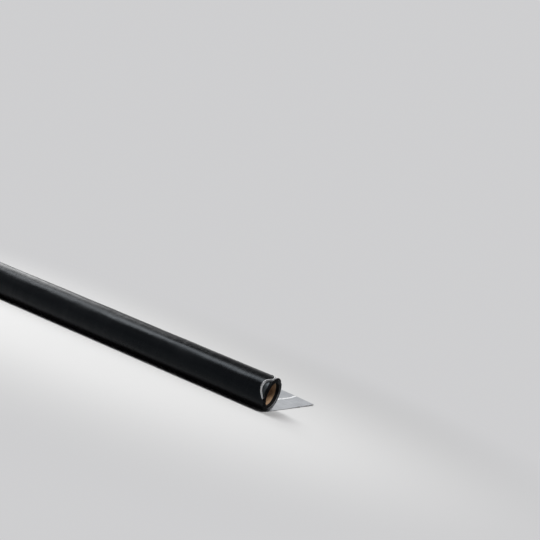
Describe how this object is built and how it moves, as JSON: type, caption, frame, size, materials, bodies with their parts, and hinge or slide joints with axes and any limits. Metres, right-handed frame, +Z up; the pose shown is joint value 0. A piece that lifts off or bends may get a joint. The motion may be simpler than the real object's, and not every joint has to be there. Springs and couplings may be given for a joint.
{
  "type": "roll of roofing felt",
  "caption": "Part-used roll of black roofing felt on a paper-board tube, lying down, with the sheet's free end running out flat from underneath.",
  "frame": {"origin": "on the roll's axis, midway along the core tube", "axes": "+X along the roll's axis to the near end, where the outer turns are torn; +Y to the side on which the sheet leaves the roll; +Z up"},
  "size_m": [1.2208, 0.459, 0.118],
  "materials": {
    "felt": "satin black, with a faint woven grain",
    "paper_board": "raw brown paper board"
  },
  "bodies": {
    "root": {"felt_roll": "felt", "core_tube": "paper_board"}
  },
  "joints": []
}
